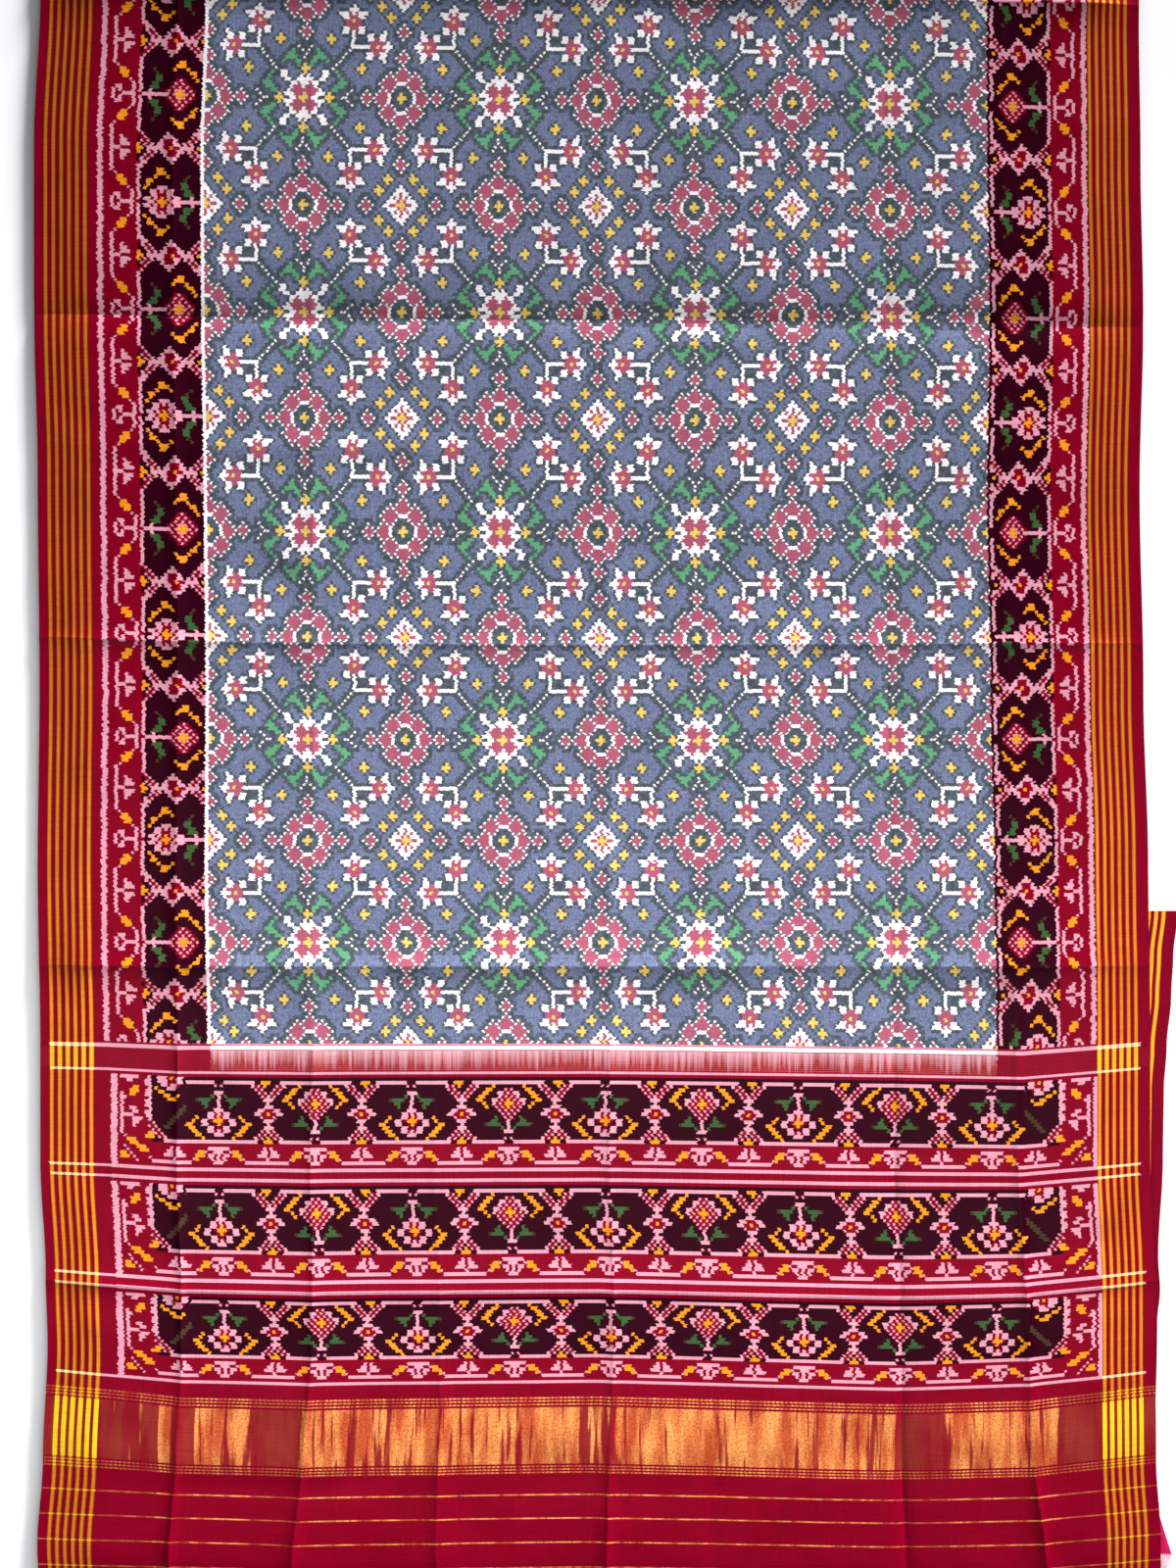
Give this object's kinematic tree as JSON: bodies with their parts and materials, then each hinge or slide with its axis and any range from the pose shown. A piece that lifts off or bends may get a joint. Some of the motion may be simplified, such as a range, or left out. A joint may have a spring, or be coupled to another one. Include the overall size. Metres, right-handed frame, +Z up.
{
  "type": "patola saree laid out folded",
  "caption": "Silk double-ikat saree laid flat in three layers, with side borders, a banded end piece and a gold strip.",
  "frame": {"origin": "on the ground under the middle of the laid-out cloth", "axes": "+X across the cloth to its right selvedge, +Y along the cloth from the hem of the end piece to the top fold, +Z up out of the ground, towards the viewer"},
  "size_m": [1.218, 2.0624, 0.013],
  "materials": {
    "pallu_silk": "satin",
    "body_silk": "satin",
    "under_silk": "satin",
    "fringe_silk": "matte"
  },
  "bodies": {
    "root": {"pallu": "pallu_silk", "body_lower": "body_silk", "body_upper": "body_silk", "folded_layers": "under_silk", "under_end": "under_silk", "corner_fringe": "fringe_silk"}
  },
  "joints": []
}
